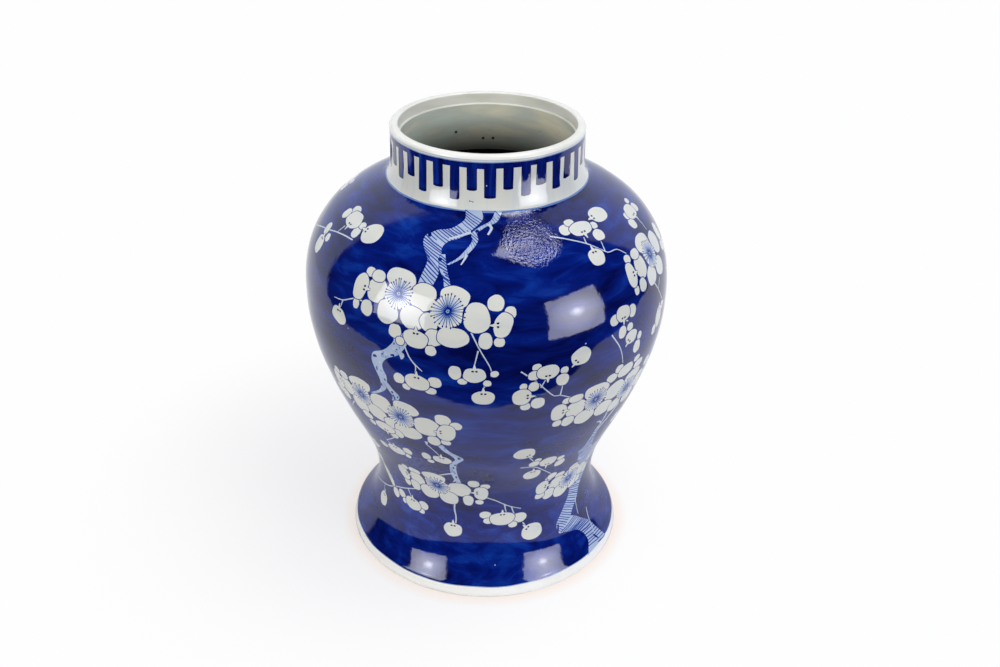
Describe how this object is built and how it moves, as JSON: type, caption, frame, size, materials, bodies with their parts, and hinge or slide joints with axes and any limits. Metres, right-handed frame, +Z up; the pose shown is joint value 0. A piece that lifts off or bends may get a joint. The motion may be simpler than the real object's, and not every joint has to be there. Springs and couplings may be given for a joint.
{
  "type": "baluster jar",
  "caption": "Large round jar on a splayed foot, with high shoulders, a short upright neck and a seat for a cover inside its lip.",
  "frame": {"origin": "centre of the circle that the foot ring stands on", "axes": "+Z up along the axis the jar is turned on; +X to the right and +Y away from the viewer in the picture"},
  "size_m": [0.3306, 0.3306, 0.42],
  "materials": {
    "cobalt_foot": "gloss clear glaze over cobalt wash",
    "cobalt_lower_body": "gloss clear glaze over cobalt wash",
    "cobalt_upper_body": "gloss clear glaze over cobalt wash",
    "glazed_neck": "gloss clear glaze over white clay",
    "glazed_base": "gloss clear glaze over white clay",
    "slip": "matt fired slip"
  },
  "bodies": {
    "root": {"foot_skirt": "cobalt_foot", "lower_body": "cobalt_lower_body", "upper_body": "cobalt_upper_body", "neck_collar": "glazed_neck", "base_slab": "glazed_base", "base_luting_coil": "slip", "waist_slip_joint": "slip", "belly_slip_joint": "slip", "neck_slip_joint": "slip"}
  },
  "joints": []
}
